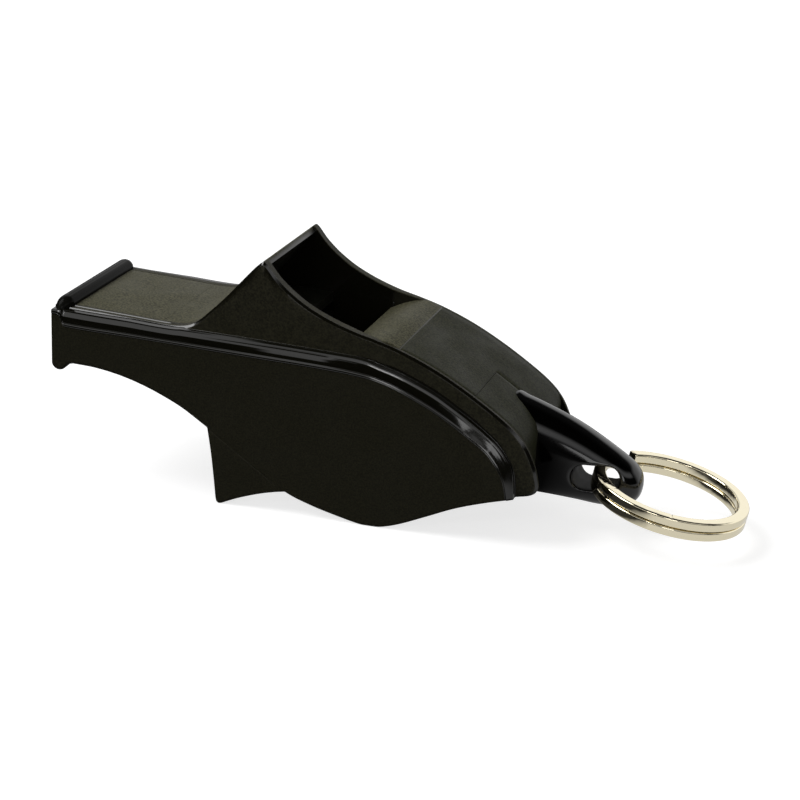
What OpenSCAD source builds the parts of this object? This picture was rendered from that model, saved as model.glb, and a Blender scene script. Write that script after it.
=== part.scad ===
// Pealess sports whistle with a dorsal fin round its window and a split ring in its tail loop.
// X runs from the mouth to the ring, Y across the whistle and Z up from the table that it stands on.
// Pieces are drawn with the mouth at X = 0, and the whole is then centred over the table.

/* [Body] */
// Length of the body from mouth to tail, without the loop
body_l = 51.5; // [46:0.5:58]
// Height of the dorsal fin tip over the table
fin_h = 25.9; // [23:0.1:29]
// Width of the bore between the two side covers
bore_w = 14; // [12:0.5:17]

/* [Side covers] */
// Thickness of a cover at its cheek, from the bore to the cheek's outer face
cheek_t = 1.25; // [1:0.05:1.6]
// Depth of the rebate in a cover that the deck and the back lap into
lap_t = 0.6; // [0.4:0.05:0.8]
// How far the ledge stands out from the cheek
ledge_t = 0.7; // [0.4:0.05:0.9]
// How far the side plate stands out from the ledge
plate_t = 0.25; // [0.15:0.05:0.5]

/* [Deck and fin] */
// Thickness of the mouth deck
deck_t = 1.3; // [1:0.05:1.6]
// Length of the mouth deck up to its joint with the fin
deck_l = 11.6; // [10:0.1:12.6]
// Thickness of the dorsal fin's front wall
fin_t = 1.1; // [0.9:0.05:1.4]
// Radius of the upper bite bead
bead_r = 0.95; // [0.8:0.05:1.1]
// How far the upper bite bead stands over the deck
bead_rise = 0.85; // [0.6:0.05:0.95]
// Radius of the lower bite bead
lip_r = 0.8; // [0.6:0.05:1]

/* [Windways] */
// Height of the mouth slot
slot_h = 3.2; // [2.6:0.1:3.6]
// Height of a windway at its exit
jet_h = 1.1; // [0.8:0.05:1.5]
// Distance from the windway exits to the labium edge
cut_up = 6.3; // [5.4:0.1:7.2]
// Thickness of a windway's floor
floor_t = 1.5; // [1.2:0.1:1.8]

/* [Chambers] */
// Thickness of the belly wall
belly_t = 1.3; // [1:0.05:1.6]
// Length of the mouth floor up to its joint with the belly
lip_l = 14; // [12:0.5:16]
// Thickness of the back wall and of the tail wall
back_t = 1.4; // [1.1:0.05:1.7]
// Thickness of the partition between the two chambers
web_t = 1; // [0.8:0.1:1.4]
// Length of the plug that shortens one chamber
plug_l = 5.4; // [4.6:0.1:6]
// Length of the labium insert from its edge to its joint with the back
labium_l = 5.5; // [5:0.1:6]
// Thickness of the labium's edge
edge_t = 0.15; // [0.1:0.05:0.3]

/* [Tail loop] */
// How far the loop reaches behind the tail wall
loop_l = 10.5; // [9.5:0.5:12]
// Height of the loop at its root
loop_h = 10.4; // [9.8:0.2:11]
// Width of the loop at its root
loop_w = 6.2; // [5.6:0.2:7]
// Length of the oval hole at mid plane
hole_l = 5.2; // [4.6:0.1:5.4]
// Height of the oval hole at mid plane
hole_h = 3.1; // [3:0.1:3.4]
// How much each side of the hole widens from mid plane to its rim
flare = 0.2; // [0.1:0.05:0.3]
// Width of the tongue that holds the loop in the tail
tongue_w = 4.4; // [3.6:0.2:5]
// Height of the tongue
tongue_h = 4; // [3:0.2:4.4]
// How far the tongue reaches in from the tail wall's outer face
tongue_l = 3.4; // [2.6:0.2:4.4]
// How far the tongue sits over the top of the belly wall
tongue_rise = 0.35; // [0.2:0.05:0.6]

/* [Split ring] */
// Outer diameter of the ring
ring_d = 16; // [14:0.5:18]
// Width of the ring's wire, across the ring
wire_w = 1.2; // [0.9:0.05:1.4]
// Thickness of the ring's wire, along the ring's axis
wire_t = 0.75; // [0.6:0.05:0.85]
// Gap between the two turns
turn_gap = 0.45; // [0.42:0.01:0.6]
// How far the ring droops from level as it lies
droop_deg = 11.4; // [6:0.2:16]

/* [Hidden] */
$fn = 48;
steps = 4;
overrun = 1;

// Half widths from the bore out to the side plate
bore_y = bore_w / 2;
lap_y = bore_y + lap_t;
cheek_y = bore_y + cheek_t;
ledge_y = cheek_y + ledge_t;
plate_y = ledge_y + plate_t;
web_y = web_t / 2;

// Outlines seen from the side, as shares of body_l along X and of fin_h up Z
front_crest_shares = [[0, 0.724], [0.08, 0.716], [0.155, 0.709], [0.23, 0.701], [0.272, 0.703],
    [0.3, 0.725], [0.33, 0.778], [0.361, 0.84], [0.39, 0.905], [0.419, 0.969], [0.433, 0.995]];
back_crest_shares = [[0.438, 1], [0.446, 0.985], [0.466, 0.937], [0.494, 0.888], [0.529, 0.842],
    [0.573, 0.801], [0.621, 0.768], [0.67, 0.743], [0.718, 0.714], [0.777, 0.666], [0.835, 0.606],
    [0.893, 0.535], [0.942, 0.465], [0.971, 0.403], [0.99, 0.328], [0.999, 0.262]];
tail_corner_shares = [[1, 0.245], [0.996, 0.222], [0.985, 0.207]];
keel_shares = [[0.045, 0.5], [0.097, 0.494], [0.155, 0.473], [0.214, 0.436], [0.272, 0.384],
    [0.322, 0.323], [0.38, 0.246], [0.439, 0.166], [0.497, 0.089], [0.55, 0.0495], [0.602, 0.0225],
    [0.65, 0.002], [0.676, 0], [0.699, 0.004], [0.735, 0.027], [0.789, 0.075], [0.842, 0.123],
    [0.895, 0.16], [0.947, 0.19], [0.971, 0.199]];
pectoral_shares = [[0.332, 0.31], [0.34, 0.212], [0.347, 0.1], [0.3515, 0.019], [0.356, 0.002],
    [0.361, 0], [0.367, 0.004], [0.377, 0.0135], [0.402, 0.035], [0.439, 0.061], [0.47, 0.078],
    [0.497, 0.089]];
ledge_shares = [[0, 0.72], [0.084, 0.712], [0.233, 0.701], [0.399, 0.69], [0.563, 0.679],
    [0.643, 0.67], [0.684, 0.649], [0.724, 0.625], [0.784, 0.575], [0.825, 0.529], [0.866, 0.477],
    [0.903, 0.424], [0.922, 0.389], [0.937, 0.35], [0.949, 0.31], [0.955, 0.25], [0.957, 0.15]];
plate_shares = [[0, 0.699], [0.014, 0.699], [0.024, 0.67], [0.084, 0.665], [0.233, 0.656],
    [0.4, 0.648], [0.563, 0.638], [0.644, 0.63], [0.684, 0.615], [0.725, 0.59], [0.785, 0.537],
    [0.826, 0.491], [0.866, 0.441], [0.898, 0.395], [0.917, 0.35], [0.932, 0.3], [0.943, 0.24],
    [0.947, 0.15]];
labium_shares = [[0.607, 0.696], [0.627, 0.7155], [0.646, 0.73], [0.668, 0.7395], [0.69, 0.737],
    [0.718, 0.714]];

// Stations of the tail loop from inside the body to its nose: place along the loop, top and bottom
// as shares of its height over its base line, and width as a share of its width
loop_shares = [[-0.62, 0.02, 0.012, 0.2], [-0.5, 0.4, 0, 0.6], [-0.4, 0.8, 0, 0.85],
    [-0.3, 1.005, 0, 0.96], [-0.17, 0.98, 0, 1], [0, 0.935, 0, 1], [0.24, 0.85, 0, 0.95],
    [0.39, 0.76, 0, 0.91], [0.55, 0.655, 0, 0.87], [0.68, 0.585, 0.003, 0.82],
    [0.8, 0.51, 0.012, 0.76], [0.9, 0.43, 0.045, 0.66], [0.97, 0.345, 0.11, 0.47],
    [1, 0.25, 0.2, 0.12]];
loop_base_share = 0.113;
hole_place_share = 0.571;
hole_height_share = 0.284;
// Exponent of the loop's rounded square sections: 1 is an ellipse
loop_section_power = 0.8;
loop_sides = 28;
loop_steps = 2;

// A smooth line through points: a cubic for each span, with slopes taken from the neighbours
function cubic(a, b, c, d, t) = (2 * b + (c - a) * t + (2 * a - 5 * b + 4 * c - d) * t * t
    + (3 * b - a - 3 * c + d) * t * t * t) / 2;
function smooth(p, n) = let (m = len(p) - 1, q = concat([2 * p[0] - p[1]], p, [2 * p[m] - p[m - 1]]))
    concat([for (i = [0 : m - 1]) for (j = [0 : n - 1]) cubic(q[i], q[i + 1], q[i + 2], q[i + 3], j / n)],
        [p[m]]);
function sized(shares) = [for (p = shares) [p[0] * body_l, p[1] * fin_h]];
function back_to_front(p) = [for (i = [len(p) - 1 : -1 : 0]) p[i]];
// A line shifted sideways by d, to its left as it runs
function unit(v) = v / norm(v);
function shifted(p, d) = let (m = len(p) - 1) [for (i = [0 : m])
    let (u = unit(p[min(i + 1, m)] - p[max(i - 1, 0)])) p[i] + d * [-u[1], u[0]]];
function arc(c, r, a0, a1, n) = [for (i = [0 : n]) let (a = a0 + (a1 - a0) * i / n)
    c + r * [cos(a), sin(a)]];
// Height of a line at x
function z_at(p, x) = lookup(x, p);

front_crest = smooth(sized(front_crest_shares), steps);
back_crest = smooth(sized(back_crest_shares), steps);
tail_corner = smooth(sized(tail_corner_shares), steps);

// The mouthpiece hangs under the deck: the keel's front follows the slot, and that fades out along X
deck_z = front_crest[0][1];
roof_z = deck_z - deck_t;
mouth_end_share = 0.272;
front_shift = roof_z - slot_h - belly_t - keel_shares[0][1] * fin_h;
function fade(share) = max(0, mouth_end_share - share) / (mouth_end_share - keel_shares[0][0]);
keel_points = [for (p = keel_shares) [p[0] * body_l, p[1] * fin_h + fade(p[0]) * front_shift]];
keel = [for (p = smooth(keel_points, steps)) [p[0], max(0, p[1])]];
pectoral = [for (p = smooth(sized(pectoral_shares), steps)) [p[0], max(0, p[1])]];
ledge_line = smooth(sized(ledge_shares), steps);
plate_line = sized(plate_shares);
labium_top = smooth(sized(labium_shares), steps);

// Lower lip: a round bead that runs into the keel line
lip_sink_share = 0.05;
lip_ends_deg = [180, 350];
lip_steps = 12;
lip_c = [lip_r, keel[0][1] - lip_sink_share * lip_r];
lip = arc(lip_c, lip_r, lip_ends_deg[0], lip_ends_deg[1], lip_steps);
keel_in = shifted(keel, belly_t);
slot_z = keel_in[0][1];

// Places along X
labium_x = labium_top[0][0];
exit_x = labium_x - cut_up;
seam_x = labium_x + labium_l;
tail_x = keel[len(keel) - 1][0];
plug_x = tail_x - plug_l;
lip_x = keel_in[0][0];

// The jet leaves the windways a little under the labium edge and climbs to it
jet_top = labium_top[0][1];
jet_floor = jet_top - jet_h;
labium_under_z = z_at(back_crest, seam_x) - back_t;
labium_roof = concat([for (p = labium_top) if (p[0] < seam_x) p], [[seam_x, z_at(back_crest, seam_x)]]);
labium_lap_x = labium_roof[len(labium_roof) - steps][0];

// Underside of the deck and the fin's inner face
deck_in = shifted(front_crest, -deck_t);
fin_in = shifted(front_crest, -fin_t);
ceiling_z = z_at(deck_in, deck_l);
back_in = shifted(back_crest, -back_t);

// Tail loop and hole
loop_base_z = loop_base_share * fin_h;
hole = [tail_x + hole_place_share * loop_l, loop_base_z + hole_height_share * loop_h];
hole_shift = (hole_l - hole_h) / 2;
tongue_z = keel_in[len(keel_in) - 1][1] + tongue_rise;

// Ring: radius of the wire's centre line, its height in two layers, and its place
ring_r = (ring_d - wire_w) / 2;
layer = (wire_t + turn_gap) / 2;
ring_reach = ring_r + ring_r + wire_w / 2;
ring_end_x = hole[0] + ring_reach * cos(droop_deg) + (layer + wire_t / 4) * sin(droop_deg);
mid_x = ring_end_x / 2;

// Polygons seen from the side
module cover_outline() polygon(concat(front_crest, back_crest, tail_corner,
    back_to_front([for (p = keel) if (p[0] > pectoral[len(pectoral) - 1][0]) p]),
    back_to_front(pectoral), back_to_front([for (p = keel) if (p[0] < pectoral[0][0]) p]),
    back_to_front(lip)));
module core_outline() polygon(concat(front_crest, [for (p = back_crest) if (p[0] < tail_x) p],
    [[tail_x, z_at(back_crest, tail_x)], [tail_x, keel[len(keel) - 1][1]]],
    back_to_front(keel), back_to_front(lip)));
module under_line(line) polygon(concat([[-overrun, -overrun]], [[-overrun, line[0][1]]], line,
    [[line[len(line) - 1][0], -overrun]]));
module span(x0, x1) translate([x0, -overrun]) square([x1 - x0, fin_h + 2 * overrun]);

// The bore below the deck and the back, above the belly wall
module deck_band() polygon(concat(front_crest, back_to_front(deck_in)));
module fin_profile() polygon(concat([[deck_l, ceiling_z], [deck_l, z_at(front_crest, deck_l)]],
    [for (p = front_crest) if (p[0] > deck_l) p],
    back_to_front([for (p = fin_in) if (p[1] > jet_top + fin_t) p]),
    [[exit_x, jet_top + fin_t], [exit_x, jet_top]]));
module belly_band() polygon(concat(lip, keel, back_to_front(keel_in), [[0, slot_z]]));
module back_band() polygon(concat([for (p = back_crest) if (p[0] > labium_x) p],
    back_to_front([for (p = back_in) if (p[0] > labium_x) p])));
module under_ceiling() polygon(concat([for (p = deck_in) if (p[0] < deck_l) p],
    [[deck_l, ceiling_z], [exit_x, jet_top], [exit_x, jet_floor], [labium_x, jet_floor],
        [labium_x, jet_top], [body_l, jet_top], [body_l, 0], [0, 0]]));
module windway_band() polygon([[lip_x, slot_z], [exit_x, jet_floor], [exit_x, jet_floor - floor_t],
    [lip_x, slot_z - floor_t]]);
module labium_wedge() polygon(concat(labium_roof, [[seam_x, labium_under_z],
    labium_top[0] - [0, edge_t]]));

// Moves a piece from its drawing place, mouth at X = 0, to the table
module at_table() translate([-mid_x, 0, 0]) children();
// A slice across the whistle from y0 to y1
module across(y0, y1) rotate([90, 0, 0]) translate([0, 0, -y1]) linear_extrude(y1 - y0) children();

// Volumes that pieces share a face with
module deck_profile() intersection() { deck_band(); span(0, deck_l); }
module back_profile() intersection() { back_band(); core_outline(); span(seam_x, tail_x); }
module plug_profile() intersection() {
    core_outline();
    span(plug_x, tail_x);
    difference() { square([body_l, fin_h]); belly_band(); }
}
module tongue() translate([tail_x - tongue_l, -tongue_w / 2, tongue_z])
    cube([tongue_l + back_t, tongue_w, tongue_h]);
module plug_space() {
    across(-bore_y, web_y) difference() { plug_profile(); back_profile(); }
    across(-lap_y + 2 * lap_t, web_y) intersection() { plug_profile(); back_profile(); }
}

// Side covers: cheek, ledge and side plate in one moulding with its pectoral fin
module cover() {
    across(bore_y, lap_y) difference() {
        cover_outline();
        deck_profile();
        fin_profile();
        back_profile();
        intersection() { labium_wedge(); span(labium_lap_x, seam_x); }
    }
    across(lap_y, cheek_y) cover_outline();
    across(cheek_y, ledge_y) intersection() { cover_outline(); under_line(ledge_line); }
    across(ledge_y, plate_y) intersection() { cover_outline(); under_line(plate_line); }
    translate([bead_r, lap_y, deck_z + bead_rise - bead_r]) intersection() {
        sphere(bead_r);
        translate([-bead_r, 0, -bead_r]) cube(2 * bead_r);
    }
}
module left_side_cover() color([0.10, 0.10, 0.10]) at_table() cover();
module right_side_cover() color([0.10, 0.10, 0.10]) at_table() mirror([0, 1, 0]) cover();

// Mouth deck with the upper bite bead
module mouth_deck() color([0.26, 0.25, 0.24]) at_table() {
    across(-lap_y, lap_y) deck_profile();
    across(-lap_y, lap_y) translate([bead_r, deck_z + bead_rise - bead_r]) circle(bead_r);
}

// Dorsal fin: the swept front wall, and the windways' roof at its foot
module dorsal_fin() color([0.24, 0.23, 0.22]) at_table() across(-lap_y, lap_y) fin_profile();

// Mouth floor with the lower bite bead, and the belly wall behind it
module mouth_floor() color([0.16, 0.16, 0.16]) at_table()
    across(-bore_y, bore_y) intersection() { belly_band(); span(-overrun, lip_l); }
module belly_shell() color([0.14, 0.14, 0.14]) at_table()
    across(-bore_y, bore_y) intersection() { belly_band(); span(lip_l, tail_x); }

// Windway floors, one on each side of the partition
module windway_floor() across(web_y, bore_y) difference() { windway_band(); under_line(keel_in); }
module left_windway_floor() color([0.30, 0.30, 0.32]) at_table() windway_floor();
module right_windway_floor() color([0.30, 0.30, 0.32]) at_table() mirror([0, 1, 0]) windway_floor();

// Partition on the mid plane, cut low across the window
module centre_partition() color([0.36, 0.36, 0.38]) at_table() across(-web_y, web_y) difference() {
    intersection() { core_outline(); under_ceiling(); span(lip_x, plug_x); }
    under_line(keel_in);
    back_band();
    labium_wedge();
}

// Labium insert: the edge that splits the air, under the front of the back
module labium_insert() color([0.30, 0.29, 0.28]) at_table() {
    across(-bore_y, bore_y) labium_wedge();
    across(-lap_y, lap_y) intersection() { labium_wedge(); span(labium_lap_x, seam_x); }
}

// Back shell: the roof behind the window and the tail wall
module back_shell() color([0.24, 0.23, 0.22]) at_table() difference() {
    union() {
        across(-lap_y, lap_y) back_profile();
        across(-bore_y, bore_y) intersection() { plug_profile(); span(tail_x - back_t, tail_x); }
    }
    plug_space();
    tongue();
}

// Plug that ends the right chamber short, so that the two chambers sound apart
module chamber_plug() color([0.28, 0.27, 0.26]) at_table() difference() {
    plug_space();
    tongue();
}

// Tail loop: a tapered finger with an oval hole and a tongue that is held in the tail
function station(s, a) = let (top = s[1] * loop_h, low = s[2] * loop_h, mid = (top + low) / 2,
    half = (top - low) / 2, c = cos(a), d = sin(a))
    [tail_x + s[0] * loop_l, s[3] * loop_w / 2 * sign(c) * pow(abs(c), loop_section_power),
        loop_base_z + mid + half * sign(d) * pow(abs(d), loop_section_power)];
loop_stations = smooth(loop_shares, loop_steps);
loop_points = [for (s = loop_stations) for (i = [0 : loop_sides - 1])
    station(s, (i + 1 / 2) * 360 / loop_sides)];
// Faces of a tube of closed rings with flat ends
function tube_faces(rings, sides) = concat(
    [[for (i = [0 : sides - 1]) i]],
    [for (k = [0 : rings - 2]) for (i = [0 : sides - 1]) let (a = k * sides + i,
        b = k * sides + (i + 1) % sides) each [[a, a + sides, b], [b, a + sides, b + sides]]],
    [[for (i = [sides - 1 : -1 : 0]) (rings - 1) * sides + i]]);
// The hole widens from mid plane to both rims, at a rate that reaches flare at the loop's side
module half_hole() {
    narrow = hole_h / 2;
    wide = narrow + 2 * flare;
    for (side = [-1, 1]) translate([side * hole_shift, 0, 0]) rotate([-90, 0, 0])
        cylinder(h = loop_w, r1 = narrow, r2 = wide);
    translate([-hole_shift, 0, 0]) rotate([90, 0, 90]) linear_extrude(2 * hole_shift)
        polygon([[0, -narrow], [loop_w, -wide], [loop_w, wide], [0, narrow]]);
}
module hole_cut() translate([hole[0], 0, hole[1]]) for (turn = [0, 180]) rotate([0, 0, turn]) half_hole();
module tail_loop() color([0.09, 0.09, 0.09]) at_table() difference() {
    union() {
        difference() {
            polyhedron(loop_points, tube_faces(len(loop_stations), loop_sides), convexity = 4);
            across(-lap_y, lap_y) core_outline();
        }
        tongue();
    }
    hole_cut();
}

// Split ring: two turns of flat wire in one unbroken length, one turn over the other
turn_steps = 24;
start_deg = 135;
wire_deg = 660;
ramp_deg = 50;
wire_sides = 8;
wire_round = wire_t / 4;
wire_section = [for (q = [[1, 1], [-1, 1], [-1, -1], [1, -1]]) each (q[0] * q[1] > 0
    ? [[q[0] * wire_w / 2, q[1] * (wire_t / 2 - wire_round)],
       [q[0] * (wire_w / 2 - wire_round), q[1] * wire_t / 2]]
    : [[q[0] * (wire_w / 2 - wire_round), q[1] * wire_t / 2],
       [q[0] * wire_w / 2, q[1] * (wire_t / 2 - wire_round)]])];
function eased(t) = let (k = min(1, max(0, t))) k * k * (3 - 2 * k);
function wire_level(a) = layer * (1 - 2 * eased((a - (360 - ramp_deg)) / ramp_deg));
wire_rings = ceil(wire_deg / 360 * turn_steps);
function wire_point(k, q) = let (a = k * wire_deg / wire_rings, t = start_deg - a)
    [(ring_r + q[0]) * cos(t), (ring_r + q[0]) * sin(t), wire_level(a) + q[1]];
wire_points = [for (k = [0 : wire_rings]) for (q = wire_section) wire_point(k, q)];
// Least gap between the two turns, measured on the points one turn apart
wire_gaps = [for (k = [0 : wire_rings]) for (m = [0 : wire_rings]) if (m > k + turn_steps / 2)
    for (q = wire_section) for (w = wire_section) norm(wire_point(k, q) - wire_point(m, w))];
echo(least_gap = min(wire_gaps));
module split_ring() color([0.78, 0.76, 0.70]) at_table()
    translate([hole[0], 0, hole[1]]) rotate([0, droop_deg, 0]) translate([ring_r, 0, 0])
        polyhedron(wire_points, tube_faces(wire_rings + 1, wire_sides), convexity = 6);

left_side_cover();
right_side_cover();
mouth_deck();
dorsal_fin();
mouth_floor();
belly_shell();
left_windway_floor();
right_windway_floor();
centre_partition();
labium_insert();
back_shell();
chamber_plug();
tail_loop();
split_ring();
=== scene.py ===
"""A pealess sports whistle: black mouldings with a dorsal fin round the window and a split ring.

A piece is worked out in millimetres with the mouth at X = 0, and goes into the row frame, in metres,
when its mesh is made.
"""
import math

import bmesh
import bpy
import numpy as np
from mathutils import Matrix, Vector


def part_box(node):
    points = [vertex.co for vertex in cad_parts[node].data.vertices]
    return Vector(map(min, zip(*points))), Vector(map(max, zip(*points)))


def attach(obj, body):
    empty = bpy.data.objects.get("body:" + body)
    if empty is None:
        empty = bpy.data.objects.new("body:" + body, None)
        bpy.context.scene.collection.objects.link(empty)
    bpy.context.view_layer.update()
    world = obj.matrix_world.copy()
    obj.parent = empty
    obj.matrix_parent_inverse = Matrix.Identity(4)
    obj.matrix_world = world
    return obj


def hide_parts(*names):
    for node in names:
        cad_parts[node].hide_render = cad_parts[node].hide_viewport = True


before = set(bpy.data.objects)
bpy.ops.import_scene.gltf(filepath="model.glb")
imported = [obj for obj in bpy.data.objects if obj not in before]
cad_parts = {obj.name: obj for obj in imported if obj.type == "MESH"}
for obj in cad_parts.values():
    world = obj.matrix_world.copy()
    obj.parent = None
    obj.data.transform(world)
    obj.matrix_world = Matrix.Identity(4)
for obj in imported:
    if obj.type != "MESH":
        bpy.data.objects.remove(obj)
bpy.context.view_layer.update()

# The camera: a long lens a little above the whistle and off its right side, as in the photograph.
CAMERA_PLACE = (0.05986, -0.20925, 0.08671)
CAMERA_AZIMUTH = 16.19
CAMERA_ELEVATION = 19.27
CAMERA_ROLL = 2.33
LENS_MM = 101.25
SENSOR_MM = 36.0
NEAREST_SEEN = 0.01
camera = bpy.data.objects.new("camera", bpy.data.cameras.new("camera"))
bpy.context.scene.collection.objects.link(camera)
camera.data.lens = LENS_MM
camera.data.sensor_width = SENSOR_MM
camera.data.clip_start = NEAREST_SEEN
camera.matrix_world = (Matrix.Translation(CAMERA_PLACE)
                       @ Matrix.Rotation(math.radians(CAMERA_AZIMUTH), 4, "Z")
                       @ Matrix.Rotation(math.radians(90 - CAMERA_ELEVATION), 4, "X")
                       @ Matrix.Rotation(math.radians(CAMERA_ROLL), 4, "Z"))
bpy.context.scene.camera = camera

# The side covers: two black mouldings, mirror images, that hold everything between them. Each has a
# cheek round the window and the back, a stepped ledge under it, a flat plate with a rounded edge, and
# one belly fin. They are welded to the deck, the back and the belly wall.
MM = 0.001
cover_low, cover_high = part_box("left_side_cover")
MOUTH_X = cover_low.x / MM
BODY_L = (cover_high.x - cover_low.x) / MM
FIN_H = cover_high.z / MM
BORE_Y = cover_low.y / MM
PLATE_Y = cover_high.y / MM
LAP_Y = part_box("mouth_deck")[1].y / MM
CHEEK_T = 1.25
CHEEK_Y = BORE_Y + CHEEK_T
SIZE = np.array([BODY_L, FIN_H])

# Outlines seen from the side, as shares of the body's length and of the fin's height
FRONT_CREST_SHARES = [[0, 0.724], [0.08, 0.716], [0.155, 0.709], [0.23, 0.701], [0.272, 0.703],
                      [0.3, 0.725], [0.33, 0.778], [0.361, 0.84], [0.39, 0.905], [0.419, 0.969],
                      [0.433, 0.995]]
BACK_CREST_SHARES = [[0.438, 1], [0.446, 0.985], [0.466, 0.937], [0.494, 0.888], [0.529, 0.842],
                     [0.573, 0.801], [0.621, 0.768], [0.67, 0.743], [0.718, 0.714], [0.777, 0.666],
                     [0.835, 0.606], [0.893, 0.535], [0.942, 0.465], [0.971, 0.403], [0.99, 0.328],
                     [0.999, 0.262]]
TAIL_CORNER_SHARES = [[1, 0.245], [0.996, 0.222], [0.985, 0.207], [0.971, 0.199]]
KEEL_SHARES = [[0.045, 0.5], [0.097, 0.494], [0.155, 0.473], [0.214, 0.436], [0.272, 0.384],
               [0.322, 0.323], [0.38, 0.246], [0.439, 0.166], [0.497, 0.089], [0.55, 0.0495],
               [0.602, 0.0225], [0.65, 0.002], [0.676, 0], [0.699, 0.004], [0.735, 0.027],
               [0.789, 0.075], [0.842, 0.123], [0.895, 0.16], [0.947, 0.19], [0.971, 0.199]]
BELLY_FIN_SHARES = [[0.332, 0.31], [0.34, 0.212], [0.347, 0.1], [0.3515, 0.019], [0.356, 0.002],
                    [0.361, 0], [0.367, 0.004], [0.377, 0.0135], [0.402, 0.035], [0.439, 0.061],
                    [0.47, 0.078], [0.497, 0.089]]
CORNER_SHARES = [[-0.03, 0.718], [0, 0.715], [0.084, 0.707], [0.233, 0.698], [0.399, 0.69],
                 [0.563, 0.679], [0.643, 0.67], [0.684, 0.649], [0.724, 0.625], [0.784, 0.575],
                 [0.825, 0.529], [0.866, 0.477], [0.903, 0.424], [0.922, 0.389], [0.937, 0.35],
                 [0.949, 0.31], [0.955, 0.25], [0.957, 0.15]]
TONGUE_SHARES = [[-0.03, 0.699], [0.008, 0.699], [0.014, 0.697], [0.019, 0.689]]
PLATE_SHARES = [[0.024, 0.658], [0.032, 0.652], [0.084, 0.647], [0.159, 0.644], [0.233, 0.64],
                [0.4, 0.629], [0.564, 0.619], [0.645, 0.608], [0.685, 0.594], [0.725, 0.568],
                [0.786, 0.513], [0.827, 0.467], [0.865, 0.418], [0.895, 0.378], [0.91, 0.347],
                [0.925, 0.307], [0.935, 0.267], [0.942, 0.21], [0.945, 0.15]]
# The lower lip is most of a circle, sunk a little into the belly line
LIP_R = 0.8
LIP_SINK_SHARE = 0.05
LIP_FROM_DEG = 180
LIP_TO_DEG = 350
LIP_POINTS = 25


def smooth_line(shares, steps=12, size=SIZE):
    """A smooth line through given points: each span is a cubic whose slopes follow the neighbours."""
    p = np.asarray(shares, float) * size
    q = np.vstack([2 * p[0] - p[1], p, 2 * p[-1] - p[-2]])
    a, b, c, d = q[:-3], q[1:-2], q[2:-1], q[3:]
    t = (np.arange(steps) / steps)[:, None, None]
    spans = (2 * b + (c - a) * t + (2 * a - 5 * b + 4 * c - d) * t ** 2
             + (3 * b - a - 3 * c + d) * t ** 3) / 2
    return np.vstack([spans.transpose(1, 0, 2).reshape(-1, p.shape[1]), p[-1:]])


def lengths(line):
    """Distance along a line from its start to each of its points."""
    return np.concatenate([[0], np.cumsum(np.linalg.norm(np.diff(line, axis=0), axis=1))])


def along(line, places):
    """Points at the given distances along a line."""
    s = lengths(line)
    return np.stack([np.interp(places, s, line[:, k]) for k in range(line.shape[1])], axis=-1)


def nearest(line, share):
    """Distance along a line to its point nearest to a place given in shares."""
    return lengths(line)[np.argmin(np.linalg.norm(line - np.array(share) * SIZE, axis=1))]


def distance_to(points, line):
    """Distance from each point to a line: the least of the distances to its straight pieces."""
    start, run = line[:-1], np.diff(line, axis=0)

    def least(row):
        rel = row[:, None] - start
        t = np.clip((rel * run).sum(-1) / (run * run).sum(-1), 0, 1)
        return np.linalg.norm(rel - t[..., None] * run, axis=-1).min(1)

    return np.stack([least(row) for row in points])


def crossing(low, high, line):
    """How far up each low-to-high stretch a line cuts it, from 0 to 1; infinite where it doesn't."""
    start, run = line[:-1], np.diff(line, axis=0)
    up = (high - low)[:, None]
    rel = start[None] - low[:, None]
    side = up[..., 0] * run[:, 1] - up[..., 1] * run[:, 0]
    t = (rel[..., 0] * run[:, 1] - rel[..., 1] * run[:, 0]) / side
    k = (rel[..., 0] * up[..., 1] - rel[..., 1] * up[..., 0]) / side
    return np.where((k >= -1e-6) & (k <= 1 + 1e-6) & (t > 0) & (t < 1), t, np.inf).min(1)


def round_off(distance, radius):
    """How far a rounded edge falls back at a distance from the edge: a quarter circle of that radius."""
    inside = np.clip(1 - distance / radius, 0, 1)
    return radius * (1 - np.sqrt(1 - inside ** 2))


def bell(distance, width):
    """A smooth dip's depth, 1 at its middle: e to the minus square of the distance in widths."""
    return np.exp(-(distance / width) ** 2)


def stretch(t0, t1, length, near0, near1, middle, least_room=1.8):
    """Places from t0 to t1 up each column: close ones near both ends and even ones between them.

    The close ones are drawn together where the stretch is under least_room times their reach."""
    room = (t1 - t0) * length
    near0, near1 = np.asarray(near0)[:, None], np.asarray(near1)[::-1, None]
    fit = np.minimum(1, room / (least_room * (near0.max() + near1.max())))
    first, last = t0 + near0 * fit / length, t1 - near1 * fit / length
    between = np.linspace(0, 1, middle + 2)[1:-1, None]
    return np.vstack([first, first[-1] + (last[0] - first[-1]) * between, last])


def tube_faces(rings, corners, closed=False):
    """Four-cornered faces between rings of corners, and a flat face on each end of an open tube."""
    ring = np.arange(rings if closed else rings - 1)[:, None]
    corner = np.arange(corners)[None]
    after, beside = (ring + 1) % rings, (corner + 1) % corners
    faces = np.stack([ring * corners + corner, after * corners + corner, after * corners + beside,
                      ring * corners + beside], axis=-1).reshape(-1, 4).tolist()
    if not closed:
        faces += [list(range(corners)), list(range((rings - 1) * corners, rings * corners))[::-1]]
    return faces


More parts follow.
